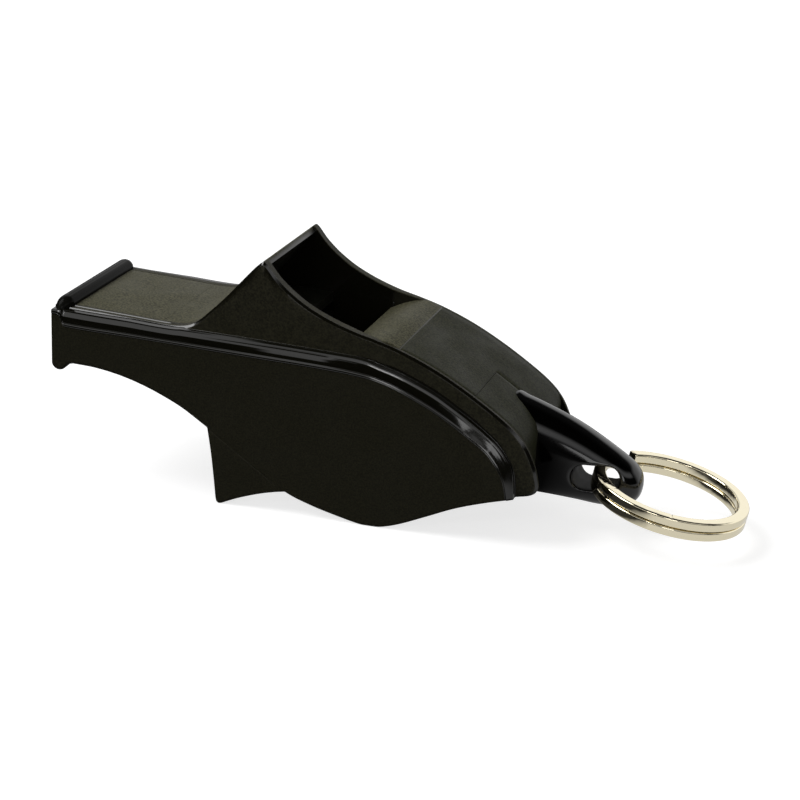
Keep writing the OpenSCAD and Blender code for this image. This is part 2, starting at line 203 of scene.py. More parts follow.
def make_piece(name, points, faces, material, body, replaced, sharp_deg=40, polish=None):
    """A piece from points in millimetres, with outward faces, smooth except at sharp corners."""
    mesh = bpy.data.meshes.new(name)
    mesh.from_pydata(((points.reshape(-1, 3) + [MOUTH_X, 0, 0]) * MM).tolist(), [], faces)
    shell = bmesh.new()
    shell.from_mesh(mesh)
    bmesh.ops.recalc_face_normals(shell, faces=shell.faces)
    shell.to_mesh(mesh)
    shell.free()
    mesh.shade_smooth()
    mesh.set_sharp_from_angle(angle=math.radians(sharp_deg))
    mesh.materials.append(material)
    if polish is not None:
        mesh.attributes.new("polish", "FLOAT", "POINT").data.foreach_set("value", polish.ravel())
    piece = bpy.data.objects.new(name, mesh)
    bpy.context.scene.collection.objects.link(piece)
    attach(piece, body)
    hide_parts(replaced)
    return piece


def feed(tree, node, values):
    """Links a node's inputs to other nodes' outputs, or sets them to numbers and colours."""
    for socket, value in values.items():
        if isinstance(value, bpy.types.NodeSocket):
            tree.links.new(value, node.inputs[socket])
        else:
            node.inputs[socket].default_value = value


def add_node(tree, kind, values, output, **settings):
    """One output of a new node that is fed with the given values."""
    node = tree.nodes.new("ShaderNode" + kind)
    for setting, value in settings.items():
        setattr(node, setting, value)
    feed(tree, node, values)
    return node.outputs[output]


def ramp(tree, reading, low, high, to_low=0.0, to_high=1.0):
    """Goes evenly from to_low to to_high while a reading goes from low to high, and is level outside."""
    return add_node(tree, "MapRange", {"Value": reading, "From Min": low, "From Max": high,
                                       "To Min": to_low, "To Max": to_high}, "Result")


def noise(tree, place, size_mm, detail):
    """Cloudy noise in spots of about the given size, mostly between 0.3 and 0.7."""
    return add_node(tree, "TexNoise", {"Vector": place, "Scale": 1 / (size_mm * MM), "Detail": detail},
                    "Fac")


# Moulded plastic drifts in roughness by this share, over spots of this size. Where the tool was polished it
# keeps these shares of its colour and grain, and elsewhere this share of its gloss. The darker colour is
# partly painted shade, where it stands on faces inside the whistle
DRIFT_SHARE = 0.15
DRIFT_MM = 4
POLISH_AND_SHADE_COLOR_SHARE = 0.15
POLISHED_GRAIN_SHARE = 0.15
DULL_GLOSS_SHARE = 0.25


def moulded(name, color, roughness, specular, grain_mm, grain_depth_mm, mottle, sheen=None):
    """Moulded plastic: fine eroded grain, drifting roughness, and a darker gloss where it is polished. The
    darker colour is also painted shade, on faces that look into the whistle's dark inside.

    A piece with a polish attribute goes from roughness to sheen as that goes from 0 to 1."""
    material = bpy.data.materials.new(name)
    material.use_nodes = True
    tree = material.node_tree
    shader = tree.nodes["Principled BSDF"]
    shader.inputs["Specular IOR Level"].default_value = specular
    dark, pale, polish_and_shade_color = [(*[c * share for c in color], 1)
                        for share in (1 - mottle, 1 + mottle, POLISH_AND_SHADE_COLOR_SHARE)]
    place = add_node(tree, "TexCoord", {}, "Object")
    grain = noise(tree, place, grain_mm, 3)
    speckle = ramp(tree, grain, 0.36, 0.64)
    tint = add_node(tree, "MixRGB", {"Fac": speckle, "Color1": dark, "Color2": pale}, "Color")
    rough = ramp(tree, noise(tree, place, DRIFT_MM, 4), 0.3, 0.7,
                 roughness * (1 - DRIFT_SHARE), roughness * (1 + DRIFT_SHARE))
    relief = {"Distance": grain_depth_mm * MM, "Height": grain}
    if sheen is not None:
        polish = add_node(tree, "Attribute", {}, "Fac", attribute_name="polish")
        rough = ramp(tree, polish, 0, 1, rough, sheen)
        # Painted shade: polished faces inside the whistle take this much darker colour
        tint = add_node(tree, "MixRGB", {"Fac": polish, "Color1": tint, "Color2": polish_and_shade_color}, "Color")
        gloss = ramp(tree, polish, 0, 1, specular * DULL_GLOSS_SHARE, specular)
        feed(tree, shader, {"Specular IOR Level": gloss})
        relief["Strength"] = ramp(tree, polish, 0, 1, 1, POLISHED_GRAIN_SHARE)
    normal = add_node(tree, "Bump", relief, "Normal")
    feed(tree, shader, {"Base Color": tint, "Roughness": rough, "Normal": normal})
    return material


side_plastic = moulded("side_plastic", (0.0305, 0.0285, 0.0155), roughness=0.55, specular=0.6,
                       grain_mm=0.16, grain_depth_mm=0.008, mottle=0.5, sheen=0.1)

front_crest = smooth_line(FRONT_CREST_SHARES)
back_crest = smooth_line(BACK_CREST_SHARES)
tail_corner = smooth_line(TAIL_CORNER_SHARES)
keel = smooth_line(KEEL_SHARES)
keel[:, 1] = np.maximum(0, keel[:, 1])
belly_fin = smooth_line(BELLY_FIN_SHARES)
belly_fin[:, 1] = np.maximum(0, belly_fin[:, 1])
corner_line = smooth_line(CORNER_SHARES)
plate_line = np.vstack([smooth_line(TONGUE_SHARES), smooth_line(PLATE_SHARES)])
lip_turn = np.radians(np.linspace(LIP_FROM_DEG, LIP_TO_DEG, LIP_POINTS))
lip = (np.array([LIP_R, keel[0, 1] - LIP_SINK_SHARE * LIP_R])
       + LIP_R * np.stack([np.cos(lip_turn), np.sin(lip_turn)], axis=-1))
crest = np.vstack([front_crest, back_crest, tail_corner])
fin_root_x, fin_end_x = belly_fin[0, 0], belly_fin[-1, 0]
bottom = np.vstack([lip, keel[keel[:, 0] < fin_root_x], belly_fin, keel[keel[:, 0] > fin_end_x]])
border = np.vstack([bottom, crest[-2::-1], bottom[:1]])
witness = keel[(keel[:, 0] > fin_root_x) & (keel[:, 0] < fin_end_x)]

# Each column of the cover's grid runs from a place on the bottom to a place on the crest
COLUMN_ENDS_SHARES = [((0, 0.498), (0, 0.724)), ((0.045, 0.5), (0.045, 0.72)),
                      ((0.097, 0.494), (0.097, 0.714)), ((0.332, 0.31), (0.31, 0.74)),
                      ((0.3515, 0.019), (0.345, 0.808)), ((0.361, 0), (0.375, 0.872)),
                      ((0.439, 0.061), (0.4355, 1)), ((0.497, 0.089), (0.5, 0.88)),
                      ((0.676, 0), (0.67, 0.743)), ((0.842, 0.123), (0.85, 0.585)),
                      ((0.92, 0.175), (0.971, 0.386)), ((0.938, 0.186), (1, 0.245)),
                      ((0.944, 0.189), (0.971, 0.199))]
# The columns' spacing, with closer ones at the mouth, where the edge is rounded
COLUMN_STEP = 0.17
FIRST_COLUMNS = [0, 0.02, 0.05]
FINE_START = 0.1
FINE_END = 1.5
FINE_STEP = 0.07
# How near the rows come to the bottom edge, the witness line, the ledge, the cheek's foot and the rim
NEAR_BOTTOM = [0.05, 0.12, 0.22, 0.4]
NEAR_WITNESS = [0.03, 0.07, 0.12, 0.2]
NEAR_LEDGE = [0.04, 0.08, 0.13, 0.18, 0.24, 0.35]
NEAR_FOOT = [0.01, 0.03, 0.06, 0.1, 0.2, 0.3, 0.4]
NEAR_RIM = [0.03, 0.1, 0.18, 0.24, 0.26, 0.28, 0.34]
# The plate lies a little inside the ledge's corner, with a fine groove where they meet
FACE_DIP = 0.1
LINE_DIP = 0.05
LINE_WIDTH = 0.07
# The witness line of the belly wall, drawn across the root of the belly fin. A row of the grid
# follows it, but stays this far up each column at least, and within this share of the plate
WITNESS_DEPTH = 0.03
WITNESS_WIDTH = 0.07
WITNESS_LEAST = 0.9
WITNESS_MOST_SHARE = 0.6
# The cheek's outer edge is cut at a slant, and it is at least this high. The other edges are rounded,
# the bottom one less within this distance of the mouth
CHEEK_CUT = 0.26
CHEEK_LEAST = 0.16
BOTTOM_ROUND = 0.2
FRONT_ROUND = 0.08
FRONT_FADE = 1.0
BORE_ROUND = 0.05
FOOT_ROUND = 0.08
# How polished the plate and the cheek are, how wide the plate's bright edge is, and how far up the
# cheek its bright foot reaches at places along the whistle
PLATE_POLISH = 0.5
CHEEK_POLISH = 0.4
LINE_POLISH = 0.16
POLISH_FADE = 0.08
STRIP_PLACES = [32, 36, 45, 49]
STRIP_HEIGHTS = [0.05, 0.34, 0.34, 0.15]
# How deep the lap reaches under the crest, and at most what share of a column it takes. The inner
# face has rows in the lap, one just under it, some by share of the column, and one near the bottom
LAP_DEPTH = 1.4
LAP_MOST_SHARE = 0.3
LAP_CREASE = 0.02
LAP_ROWS = np.array([[0], [0.04], [0.12], [LAP_DEPTH - LAP_CREASE]])
UNDER_LAP = LAP_DEPTH + LAP_CREASE
INNER_SHARES = np.array([[0.6], [0.4], [0.2]])
INNER_LAST = 0.12
INNER_LAST_SHARE = 0.15
# The rim is flat, with a low step beside the deck: its height, the places along the whistle between
# which it fades out, how far across the rim its riser stands and how far that leans, and how close
# the rows are that keep the creases and the two edges sharp
RIM_STEP = 0.07
STEP_PLACES = [12, 16]
RISER_SHARE = 0.4
RISER_RUN = 0.07
CREASE = 0.01
OUTER_CREASE = 0.02
INNER_CREASE = 0.03
# The band from the plate to its corner, by shares of the band's width: how far the plastic has fallen
# back from the plate at the mouth, by the window, behind it, and at the tail, where it is one plain
# bevel. The falls are for the full width and are less where the band is narrower. Each of the four
# sections goes over into the next between two of the places
BAND_FALL = [[0, 0.12, 0.12, 0.12, 0.12], [0.03, 0.08, 0.08, 0.08, 0.06], [0.05, 0, 0, 0, 0],
             [0.15, 0.085, 0.08, 0.085, 0.06], [0.19, 0.15, 0.12, 0.15, 0.09],
             [0.4, 0.16, 0.24, 0.19, 0.26], [0.6, 0.18, 0.395, 0.24, 0.41],
             [0.71, 0.28, 0.5, 0.27, 0.49], [0.75, 0.315, 0.51, 0.38, 0.52],
             [0.86, 0.41, 0.59, 0.475, 0.61], [0.92, 0.46, 0.65, 0.53, 0.65],
             [0.95, 0.465, 0.69, 0.56, 0.7], [1, 0.5, 0.75, 0.62, 0.8]]
BAND_PLACES = [14, 24, 29, 33, 41, 45]
BAND_SECTIONS = [0, 1, 1, 2, 2, 3]
BAND_STEPS = 44
BAND_FULL_W = 1.75
# The labium's top outline, from its edge in the window to its joint with the back
LABIUM_SHARES = [[0.607, 0.696], [0.627, 0.7155], [0.646, 0.73], [0.668, 0.7395], [0.69, 0.737],
                 [0.718, 0.714]]
LABIUM_L = 5.5
labium_top = smooth_line(LABIUM_SHARES)
labium_x, jet_top = labium_top[0]
seam_x = labium_x + LABIUM_L


def cover_columns():
    """The bottom and top end of each column, spaced evenly along the outline between matched places."""
    low = np.array([nearest(bottom, ends[0]) for ends in COLUMN_ENDS_SHARES])
    high = np.array([nearest(crest, ends[1]) for ends in COLUMN_ENDS_SHARES])
    high[-1] = lengths(crest)[-1]
    key = np.concatenate([[0], np.cumsum(np.maximum(np.diff(low), np.diff(high)))])
    front = keel[0, 0] / key[1]
    fine = np.concatenate([FIRST_COLUMNS, np.arange(FINE_START, FINE_END, FINE_STEP)]) / front
    place = np.concatenate([fine, np.arange(fine[-1] + COLUMN_STEP, key[-1], COLUMN_STEP), key[-1:]])
    return along(bottom, np.interp(place, key, low)), along(crest, np.interp(place, key, high))


def cover_points():
    """The left cover's sections, up the outer face, over the rim and down the inner one, and their polish,
    which on the inner face also darkens it as painted shade.

    A section's depth is that of the plate, of the band's falls or of the cheek, less a bell curve in
    each groove, a slant along the crest and a quarter circle along the other edges."""
    low, high = cover_columns()
    length = np.linalg.norm(high - low, axis=1)
    foot, head = 0 * length, 1 + 0 * length
    t_plate = crossing(low, high, plate_line)
    t_corner = np.minimum(crossing(low, high, corner_line), 1 - CHEEK_LEAST / length)
    t_witness = crossing(low, high, witness)
    t_witness[np.isinf(t_witness)] = 0
    t_witness = np.minimum(np.maximum(t_witness, WITNESS_LEAST / length), WITNESS_MOST_SHARE * t_plate)
    band_rows = t_plate + (t_corner - t_plate) * (np.arange(1, BAND_STEPS) / BAND_STEPS)[:, None]
    outer = np.vstack([
        foot, stretch(0, t_witness, length, NEAR_BOTTOM, NEAR_WITNESS, middle=3), t_witness,
        stretch(t_witness, t_plate, length, NEAR_WITNESS, NEAR_LEDGE, middle=6), t_plate, band_rows,
        t_corner, stretch(t_corner, 1, length, NEAR_FOOT, NEAR_RIM, middle=5), head])
    face = low + (high - low) * outer[..., None]
    to_border = distance_to(face, border)
    to_plate = distance_to(face, plate_line)
    band = (outer - t_plate) / (t_corner - t_plate)
    on_plate, on_cheek = band < 0, band > 1
    below = (t_plate - outer) * length
    above = (outer - t_corner) * length
    share, *falls = np.array(BAND_FALL).T
    section = np.interp(face[..., 0], BAND_PLACES, BAND_SECTIONS)
    fall = sum(np.interp(band, share, one) * np.clip(1 - np.abs(section - number), 0, 1)
               for number, one in enumerate(falls))
    fall *= (t_corner - t_plate) * length / BAND_FULL_W
    y_plate = PLATE_Y - FACE_DIP - LINE_DIP * bell(to_plate, LINE_WIDTH)
    y_cheek = CHEEK_Y + round_off(above, FOOT_ROUND)
    y_outer = np.where(on_plate, y_plate, np.where(on_cheek, y_cheek, PLATE_Y - fall))
    y_outer -= WITNESS_DEPTH * bell(distance_to(face, witness), WITNESS_WIDTH)
    at_front = np.clip(1 - face[..., 0] / FRONT_FADE, 0, 1)
    lower_round = BOTTOM_ROUND + (FRONT_ROUND - BOTTOM_ROUND) * at_front
    y_outer -= np.where(on_cheek, np.maximum(0, CHEEK_CUT - to_border), round_off(to_border, lower_round))
    # The band is fully polished, and so are the plate's edge, the cheek's foot and its slant
    strip = np.interp(face[..., 0], STRIP_PLACES, STRIP_HEIGHTS)
    inside = np.where(on_plate, LINE_POLISH - below, 1)
    inside = np.where(on_cheek, np.maximum(strip - above, CHEEK_CUT - to_border), inside)
    least = np.where(on_plate, PLATE_POLISH, np.where(on_cheek, CHEEK_POLISH, 0))
    polish = np.maximum(np.clip(inside / POLISH_FADE + 0.5, 0, 1), least)
    # The inner face is stepped out under the crest where the labium and the back lap into the cover
    down = np.vstack([LAP_ROWS, [[UNDER_LAP]]]) * np.minimum(1, LAP_MOST_SHARE * length / LAP_DEPTH)
    inner = np.vstack([1 - down / length, INNER_SHARES * head,
                       np.minimum(INNER_LAST_SHARE, INNER_LAST / length), foot])
    back = low + (high - low) * inner[..., None]
    y_inner = np.full(inner.shape, float(BORE_Y))
    y_inner[:len(LAP_ROWS)] = np.interp(high[:, 0], [labium_x, seam_x], [BORE_Y, LAP_Y])
    y_inner += round_off(distance_to(back, border), BORE_ROUND)
    # The rim's outer rows lie lower by the step, which ends at the riser
    step = np.interp(face[..., 0], STEP_PLACES, [1, 0])
    face[..., 1] -= np.maximum(0, RIM_STEP * step - to_border)
    riser = y_inner[0] + RISER_SHARE * (y_outer[-1] - y_inner[0])
    y_rim = np.stack([y_outer[-1] - OUTER_CREASE, riser + RISER_RUN + CREASE, riser + RISER_RUN, riser,
                      riser - CREASE, y_inner[0] + INNER_CREASE])
    riser_polish = step[-1] * np.array([[0], [0], [1], [1], [0], [0]])
    xz = np.vstack([face, [face[-1]] * 3, [high] * 3, back])
    y = np.vstack([y_outer, y_rim, y_inner])
    # The inner face, but for its top two rows, is polished, and its darker colour there is painted shade
    # for the whistle's dark inside
    polish = np.vstack([polish, riser_polish, [foot] * 2, [head] * (len(back) - 2)])
    # The flat ends at the mouth and under the tail are matte
    polish[:, [0, -1]] = 0
    return np.stack([xz[..., 0], y, xz[..., 1]], axis=-1).transpose(1, 0, 2), polish.T


left_cover_points, cover_polish = cover_points()
cover_faces = tube_faces(*left_cover_points.shape[:2])
make_piece("left_cover", left_cover_points, cover_faces, side_plastic, "whistle",
           "left_side_cover", polish=cover_polish)
make_piece("right_cover", left_cover_points * [1, -1, 1], cover_faces, side_plastic, "whistle",
           "right_side_cover", polish=cover_polish)

# The mouth deck: the matte top of the mouthpiece, lapped into both covers, with a faint joint to the
# fin behind it. Its bite bead is a round bar across the front whose ends sit on the covers.
DECK_T = 1.3
DECK_L = 11.6
DECK_EDGE = 0.12
JOINT_ROUND = 0.05
FAINT_JOINT = 0.008
deck_z = front_crest[0, 1]
deck_plastic = moulded("deck_plastic", (0.069, 0.066, 0.038), roughness=0.55, specular=0.56,
                       grain_mm=0.2, grain_depth_mm=0.02, mottle=0.5, sheen=0.35)


def shifted(line, distance):
    """A line moved sideways by a distance, to its left as it runs."""
    run = np.gradient(line, axis=0)
    run /= np.linalg.norm(run, axis=1)[:, None]
    return line + distance * np.stack([-run[:, 1], run[:, 0]], axis=-1)


def dense(profile, step=0.5):
    """A closed outline with its straight stretches cut into short ones."""
    loop = np.vstack([profile, profile[:1]])
    s = lengths(loop)
    extra = [np.linspace(a, b, int((b - a) / step) + 1, endpoint=False) for a, b in zip(s[:-1], s[1:])]
    return along(loop, np.unique(np.concatenate(extra)))


def bar_points(profile, half, edge):
    """A closed outline carried from -half to half across the whistle, drawn in at its rounded ends.

    At an end the outline moves in by edge times (1 - cos) while Y goes out by edge times sin."""
    loop = np.vstack([profile[-1:], profile, profile[:1]])
    run = loop[2:] - loop[:-2]
    run /= np.linalg.norm(run, axis=1)[:, None]
    x, z = profile.T
    area = np.sum(x * np.roll(z, -1) - z * np.roll(x, -1))
    out = np.sign(area) * np.stack([run[:, 1], -run[:, 0]], axis=-1)
    turn = np.radians([0, 30, 60, 90])
    y = half - edge * (1 - np.sin(turn))
    y = np.concatenate([-y[::-1], y])
    sink = edge * (1 - np.cos(turn))
    sink = np.concatenate([sink[::-1], sink])
    xz = profile[None] - out[None] * sink[:, None, None]
    return np.stack([xz[..., 0], np.broadcast_to(y[:, None], xz.shape[:2]), xz[..., 1]], axis=-1)


def bar(name, profile, half, edge, material, replaced, polish=None):
    """A moulding of one outline all the way across."""
    points = bar_points(profile, half, edge)
    if polish is not None:
        polish = np.broadcast_to(polish, points.shape[:2])
    return make_piece(name, points, tube_faces(*points.shape[:2]), material, "whistle", replaced,
                      polish=polish)


deck_top = front_crest[(front_crest[:, 0] > JOINT_ROUND) & (front_crest[:, 0] < DECK_L - JOINT_ROUND)]
ceiling = shifted(front_crest, -DECK_T)
deck_under = ceiling[(ceiling[:, 0] > 0) & (ceiling[:, 0] < DECK_L)]
ceiling_z = np.interp(DECK_L, *ceiling.T)
joint_z = np.interp(DECK_L, *front_crest.T)
deck_profile = dense(np.vstack([
    [[0, deck_z - JOINT_ROUND]], deck_top, [[DECK_L - FAINT_JOINT, joint_z]],
    [[DECK_L, joint_z - FAINT_JOINT]], [[DECK_L, ceiling_z]], deck_under[::-1],
    [[0, deck_z - DECK_T]]]))
bar("deck", deck_profile, BORE_Y, DECK_EDGE, deck_plastic, "mouth_deck")
# The bead's radius and how far it stands over the deck, where its ends start to bend, how far they
# go out and down, and the radius and the place that they end with
BEAD_R = 0.95
BEAD_RISE = 0.85
BEND_START_Y = 7.3
BEND_OUT = 1.05
BEND_DOWN = 1.3
CURL_R = 0.58
CURL_X = 0.74
def bead_points(corners=44, bend_steps=16):
    """Rings along a bar whose ends bend outwards and down in quarter ellipses while they get thinner."""
    turn = np.radians(np.linspace(0, 90, bend_steps))
    tip = np.radians(np.linspace(0, 88, 6))[1:]
    bent = np.concatenate([turn, np.full(len(tip), np.pi / 2)])
    size = np.concatenate([BEAD_R + (CURL_R - BEAD_R) * np.sin(turn) ** 2, CURL_R * np.cos(tip)])
    x = np.concatenate([BEAD_R + (CURL_X - BEAD_R) * np.sin(turn) ** 2, np.full(len(tip), CURL_X)])
    y = BEND_START_Y + BEND_OUT * np.sin(bent)
    sunk = BEND_DOWN * (1 - np.cos(bent)) + np.concatenate([0 * turn, CURL_R * np.sin(tip)])
    z = deck_z + BEAD_RISE - BEAD_R - sunk
    side = np.concatenate([-np.ones(len(y)), np.ones(len(y))])
    x, y, z, size, bent = [np.concatenate([a[::-1], a]) for a in (x, y, z, size, bent)]
    around = np.linspace(0, 2 * np.pi, corners, endpoint=False)
    cos, sin = size[:, None] * np.cos(around), size[:, None] * np.sin(around)
    return np.stack([x[:, None] + cos,
                     (side * y)[:, None] + sin * (side * np.sin(bent))[:, None],
                     z[:, None] + sin * np.cos(bent)[:, None]], axis=-1)


bead_plastic = moulded("bead_plastic", (0.006, 0.006, 0.005), roughness=0.13, specular=0.03,
                       grain_mm=0.2, grain_depth_mm=0.002, mottle=0.3)
bite_bead = bead_points()
make_piece("bite_bead", bite_bead, tube_faces(*bite_bead.shape[:2]), bead_plastic, "whistle",
           "mouth_deck")

# The dorsal fin: the swept front wall of the window with a flat top edge, and at its foot the roof
# of the windways, which comes down to the jet that blows at the labium.
FIN_T = 1.1
FIN_TIP_T = 0.6
CUT_UP = 6.3
# The two lines stop this far under the top edge, whose corners are given from the lines' ends
TOP_FLAT = 0.1
TOP_FRONT = [[-0.01, -0.03], [0.12, -0.03]]
TOP_BACK = [[-0.1, 0.02], [0, -0.08]]
# What lies farther than this from the front line faces the window and is polished, and its colour is
# darkened nearly to black as painted shade for the window's dark inside
WINDOW_SIDE = 0.3
exit_x = labium_x - CUT_UP
wall_t = np.interp(front_crest[:, 1], [deck_z, front_crest[-1, 1]], [FIN_T, FIN_TIP_T])
fin_in = shifted(front_crest, -wall_t[:, None])
fin_front = front_crest[(front_crest[:, 0] > DECK_L + JOINT_ROUND)
                        & (front_crest[:, 1] < front_crest[-1, 1] - TOP_FLAT)]
fin_back = fin_in[(fin_in[:, 1] > jet_top + FIN_T) & (fin_in[:, 1] < fin_in[-1, 1] - TOP_FLAT)]
fin_profile = dense(np.vstack([
    [[DECK_L, ceiling_z]], [[DECK_L, joint_z - FAINT_JOINT]], [[DECK_L + FAINT_JOINT, joint_z]],
    fin_front, front_crest[-1] + TOP_FRONT, fin_in[-1] + TOP_BACK, fin_back[::-1],
    [[exit_x, jet_top + FIN_T]], [[exit_x, jet_top]]]))
in_window = 1.0 * (distance_to(fin_profile[None], front_crest)[0] > WINDOW_SIDE)
bar("fin_wall", fin_profile, BORE_Y, JOINT_ROUND, deck_plastic, "dorsal_fin", in_window)

# The mouth floor and the belly wall: black mouldings between the covers, joined under the windways.
# The floor's front edge is the lower bite bead.
BELLY_T = 1.3
FLOOR_L = 14.0
keel_in = shifted(keel, BELLY_T)
split = [[FLOOR_L, np.interp(FLOOR_L, *keel.T)]]
split_in = [[FLOOR_L, np.interp(FLOOR_L, *keel_in.T)]]
floor_keel = keel[keel[:, 0] < FLOOR_L]
floor_in = keel_in[keel_in[:, 0] < FLOOR_L]
floor_profile = dense(np.vstack([lip, floor_keel, split, split_in, floor_in[::-1], [[0, keel_in[0, 1]]]]))
bar("mouth_floor_moulding", floor_profile, BORE_Y, JOINT_ROUND, side_plastic,
    "mouth_floor")
belly_keel = keel[keel[:, 0] > FLOOR_L]
belly_in = keel_in[keel_in[:, 0] > FLOOR_L]
belly_profile = dense(np.vstack([split, belly_keel, belly_in[::-1], split_in]))
bar("belly_wall", belly_profile, BORE_Y, JOINT_ROUND, side_plastic, "belly_shell")

# The labium insert: a matte wedge behind the window whose thin edge splits the air. Its top rises in
# a round shoulder and meets the back at a bright joint.
EDGE_T = 0.15
BACK_T = 1.4
SEAM_BEVEL = 0.07
BEVEL_POLISH = 0.6
WEDGE_ROUND = 0.02
HAIR = 0.001
seam_z = np.interp(seam_x, *back_crest.T)
wedge_top = labium_top[labium_top[:, 0] < seam_x - SEAM_BEVEL - WEDGE_ROUND]
bevel_z = np.interp(seam_x - SEAM_BEVEL, *labium_top.T)
wedge_profile = dense(np.vstack([wedge_top, [[seam_x - SEAM_BEVEL, bevel_z]],
                                 [[seam_x, seam_z - SEAM_BEVEL / 2]], [[seam_x, seam_z - BACK_T]],
                                 [labium_top[0] - [0, EDGE_T]]]))
on_bevel = ((wedge_profile[:, 0] > seam_x - SEAM_BEVEL - HAIR)
            & (wedge_profile[:, 1] > seam_z - SEAM_BEVEL))
bar("labium_wedge", wedge_profile, LAP_Y, WEDGE_ROUND, deck_plastic, "labium_insert",
    BEVEL_POLISH * on_bevel)

# The back and the chamber plug: the matte roof behind the window, which turns down into the tail
# wall. The plug closes the right chamber short, and its top shows as a patch let into the roof.
PLUG_L = 5.4
PLUG_TAIL_T = 0.2
WEB_Y = 0.5
TAIL_X = keel[-1, 0]
# The roof turns down into the tail wall in a small round, and ends a little above the belly line
TAIL_ROUND = 0.25
TAIL_TURN = [0.02, 0.325]
TAIL_END_RISE = 0.05
ROOF_STEP = 0.3
FREE_EDGE_DROP = 0.04
# The roof's plastic is a darker, less glossy copy of the deck's: its darker colour is painted shade, as the
# roof slopes away from the lamps
shaded_roof_plastic = moulded("shaded_roof_plastic", (0.0235, 0.0245, 0.0115), roughness=0.55, specular=0.11,
                       grain_mm=0.2, grain_depth_mm=0.02, mottle=0.5)
roof_end = np.array([TAIL_X, np.interp(TAIL_X, *back_crest.T)])
roof_line = back_crest[(back_crest[:, 0] > seam_x + HAIR) & (back_crest[:, 0] < TAIL_X - TAIL_ROUND)]
roof_line = np.vstack([[[seam_x, seam_z]], roof_line, roof_end - TAIL_TURN,
                       [TAIL_X, keel[-1, 1] + TAIL_END_RISE]])


def lined(line, cut, step, fine):
    """Distances along a line: even steps, and close ones at its start and on both sides of a cut."""
    end = lengths(line)[-1]
    near = cut + fine * np.array([-1, 0, 1])
    base = np.arange(0, end, step)
    base = base[np.all(np.abs(base[:, None] - near) > fine, axis=1)]
    return np.unique(np.concatenate([[0, fine], base, near, [end]]))


def slab(name, line, under, ys, keep, drop, material, replaced):
    """A plate that follows a line, kept where a mask says, with its free edges lowered a little.

    Its top is the line carried across at each Y, its lower side is the line under it carried the same
    way, and a wall closes each edge that only one of the kept cells has."""
    rows, cols = len(line), len(ys)
    y = np.broadcast_to(ys, (rows, cols))
    used = np.zeros((rows + 1, cols + 1), int)
    used[1:-1, 1:-1] = keep
    around = used[1:, 1:] + used[1:, :-1] + used[:-1, 1:] + used[:-1, :-1]
    down = np.where(around < 4, drop, 0)
    inward = under - line
    inward = inward / np.linalg.norm(inward, axis=1)[:, None]
    top_xz = line[:, None] + inward[:, None] * down[..., None]
    low_xz = np.broadcast_to(under[:, None], top_xz.shape)
    points = np.concatenate([np.stack([g[..., 0], y, g[..., 1]], axis=-1).reshape(-1, 3)
                             for g in (top_xz, low_xz)])
    number = np.arange(rows * cols).reshape(rows, cols)
    cell = np.stack([number[:-1, :-1], number[1:, :-1], number[1:, 1:], number[:-1, 1:]], axis=-1)[keep]
    edges = np.concatenate([cell[:, [k, (k + 1) % 4]] for k in range(4)])
    key = np.sort(edges, axis=1) @ [rows * cols, 1]
    _, place, count = np.unique(key, return_index=True, return_counts=True)
    rim = edges[place[count == 1]]
    lower = rows * cols
    walls = np.stack([rim[:, 1], rim[:, 0], rim[:, 0] + lower, rim[:, 1] + lower], axis=-1)
    faces = np.vstack([cell, cell[:, ::-1] + lower, walls])
    spare = np.ones(len(points), bool)
    spare[np.unique(faces)] = False
    renumber = np.cumsum(~spare) - 1
    return make_piece(name, points[~spare], renumber[faces].tolist(), material, "whistle", replaced)


plug_s = np.interp(TAIL_X - PLUG_L, roof_line[:, 0], lengths(roof_line))
roof_s = lined(roof_line, plug_s, ROOF_STEP, JOINT_ROUND)
roof = along(roof_line, roof_s)
roof_ys = np.concatenate([[-LAP_Y, JOINT_ROUND - LAP_Y], np.arange(-7, 0.5),
                          [WEB_Y - JOINT_ROUND, WEB_Y, WEB_Y + JOINT_ROUND], np.arange(1.5, 7),
                          [LAP_Y - JOINT_ROUND, LAP_Y]])
cell_s = (roof_s[1:] + roof_s[:-1]) / 2
cell_y = (roof_ys[1:] + roof_ys[:-1]) / 2
in_plug = (cell_s[:, None] > plug_s) & (cell_y < WEB_Y)
on_wall = roof[:, 0] > TAIL_X - JOINT_ROUND
roof_under = shifted(roof, -BACK_T)
roof_under[on_wall] = np.stack([np.full(on_wall.sum(), TAIL_X - BACK_T), roof[on_wall, 1]], axis=-1)
slab("back", roof, roof_under, roof_ys, ~in_plug, FREE_EDGE_DROP, shaded_roof_plastic,
     "back_shell")
plug_under = np.stack([np.minimum(roof[:, 0], TAIL_X - PLUG_TAIL_T), np.interp(roof[:, 0], *keel_in.T)],
                      axis=-1)
slab("plug", roof, plug_under, roof_ys, in_plug, FREE_EDGE_DROP, shaded_roof_plastic,
     "chamber_plug")

# The windway floors and the partition: plain black walls inside, seen only through the window and the
# mouth. They keep their solids and get a duller plastic, nearly black and darker than the covers' as
# painted shade for the dark inside.
inner_plastic = moulded("inner_plastic", (0.006, 0.006, 0.005), roughness=0.6, specular=0.15,
                        grain_mm=0.2, grain_depth_mm=0.01, mottle=0.15)
for node in ("left_windway_floor", "right_windway_floor", "centre_partition"):
    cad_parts[node].data.materials.clear()
    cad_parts[node].data.materials.append(inner_plastic)

# The tail loop: a polished black finger, round in section, that tapers to a blunt nose. An oval hole
# with rounded rims goes through it, widest at the sides because the mould's two halves meet inside it.
LOOP_L = 10.5
LOOP_H = 10.4
LOOP_W = 6.2
LOOP_BASE_SHARE = 0.113
HOLE_PLACE_SHARE = 0.571
HOLE_HEIGHT_SHARE = 0.284
